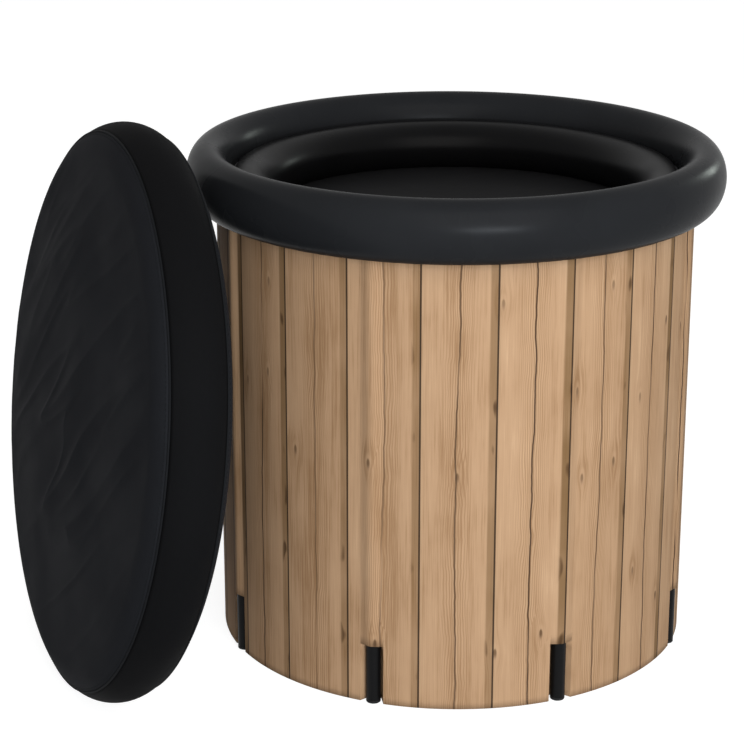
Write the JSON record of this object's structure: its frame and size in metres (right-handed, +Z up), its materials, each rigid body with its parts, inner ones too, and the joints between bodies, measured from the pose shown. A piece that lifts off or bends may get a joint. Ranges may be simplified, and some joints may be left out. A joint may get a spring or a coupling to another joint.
{
  "type": "cold plunge tub",
  "caption": "Round soft-walled cold plunge tub with a wood-plank print, an inflated ring, poles in sleeves, an inflated inner lid and a thick padded lid leaning beside it.",
  "frame": {"origin": "the tub's axis at the floor, on the underside of its base panel", "axes": "+Z up along the tub's axis, -Y to the front, the padded lid stands on the -X side"},
  "size_m": [1.0731, 1.0148, 0.8067],
  "materials": {
    "printed_skin": "satin coated cloth with a wood-plank print",
    "inflated_black": "satin black sheet, inflated",
    "deck_black": "matt black sheet",
    "liner_black": "satin black sheet",
    "foam": "closed-cell foam",
    "base_black": "matt black sheet",
    "pole_black": "satin black tube",
    "rubber_black": "matt rubber",
    "fitting_black": "satin moulded plastic",
    "lid_cloth": "black woven cloth"
  },
  "bodies": {
    "tub": {"outer_skin": "printed_skin", "insulation_wall": "foam", "tub_liner": "liner_black", "floor_pad": "foam", "base_panel": "base_black", "top_ring": "inflated_black", "ring_valve_base": "fitting_black", "pole_1": "pole_black", "pole_2": "pole_black", "pole_3": "pole_black", "pole_4": "pole_black", "pole_5": "pole_black", "pole_6": "pole_black", "pole_7": "pole_black", "pole_8": "pole_black", "pole_foot_1": "rubber_black", "pole_foot_2": "rubber_black", "pole_foot_3": "rubber_black", "pole_foot_4": "rubber_black", "pole_foot_5": "rubber_black", "pole_foot_6": "rubber_black", "pole_foot_7": "rubber_black", "pole_foot_8": "rubber_black", "pole_top_1": "rubber_black", "pole_top_2": "rubber_black", "pole_top_3": "rubber_black", "pole_top_4": "rubber_black", "pole_top_5": "rubber_black", "pole_top_6": "rubber_black", "pole_top_7": "rubber_black", "pole_top_8": "rubber_black", "drain_spigot": "fitting_black", "drain_gasket": "rubber_black", "drain_washer": "rubber_black", "drain_nut": "fitting_black"},
    "ring_valve_cap": {"ring_valve_cap": "fitting_black"},
    "drain_cap": {"drain_cap": "fitting_black"},
    "inner_lid": {"inner_lid_ring": "inflated_black", "inner_lid_deck": "deck_black", "inner_lid_valve_base": "fitting_black"},
    "inner_lid_valve_cap": {"inner_lid_valve_cap": "fitting_black"},
    "lid": {"lid_face": "lid_cloth", "lid_band": "lid_cloth", "lid_back": "lid_cloth", "lid_core": "foam", "lid_piping_front": "lid_cloth", "lid_piping_back": "lid_cloth"}
  },
  "joints": [
    {"name": "lid_lift", "type": "slide", "parent": "tub", "child": "lid", "axis": [0, 0, 1], "range_m": [0, 0.8]},
    {"name": "inner_lid_lift", "type": "slide", "parent": "tub", "child": "inner_lid", "axis": [0, 0, 1], "range_m": [0, 0.5]},
    {"name": "inner_lid_valve_cap_turn", "type": "hinge", "parent": "inner_lid", "child": "inner_lid_valve_cap", "pos_m": [0, -0.3035, 0.709], "axis": [0, 0, 1], "range_deg": [0, 360]},
    {"name": "ring_valve_cap_turn", "type": "hinge", "parent": "tub", "child": "ring_valve_cap", "pos_m": [-0.01406, 0.39275, 0.6995], "axis": [-0.0358, 0.9994, 0], "range_deg": [0, 360]},
    {"name": "drain_cap_turn", "type": "hinge", "parent": "tub", "child": "drain_cap", "pos_m": [-0.01252, 0.34978, 0.05], "axis": [-0.0358, 0.9994, 0], "range_deg": [0, 360]}
  ]
}
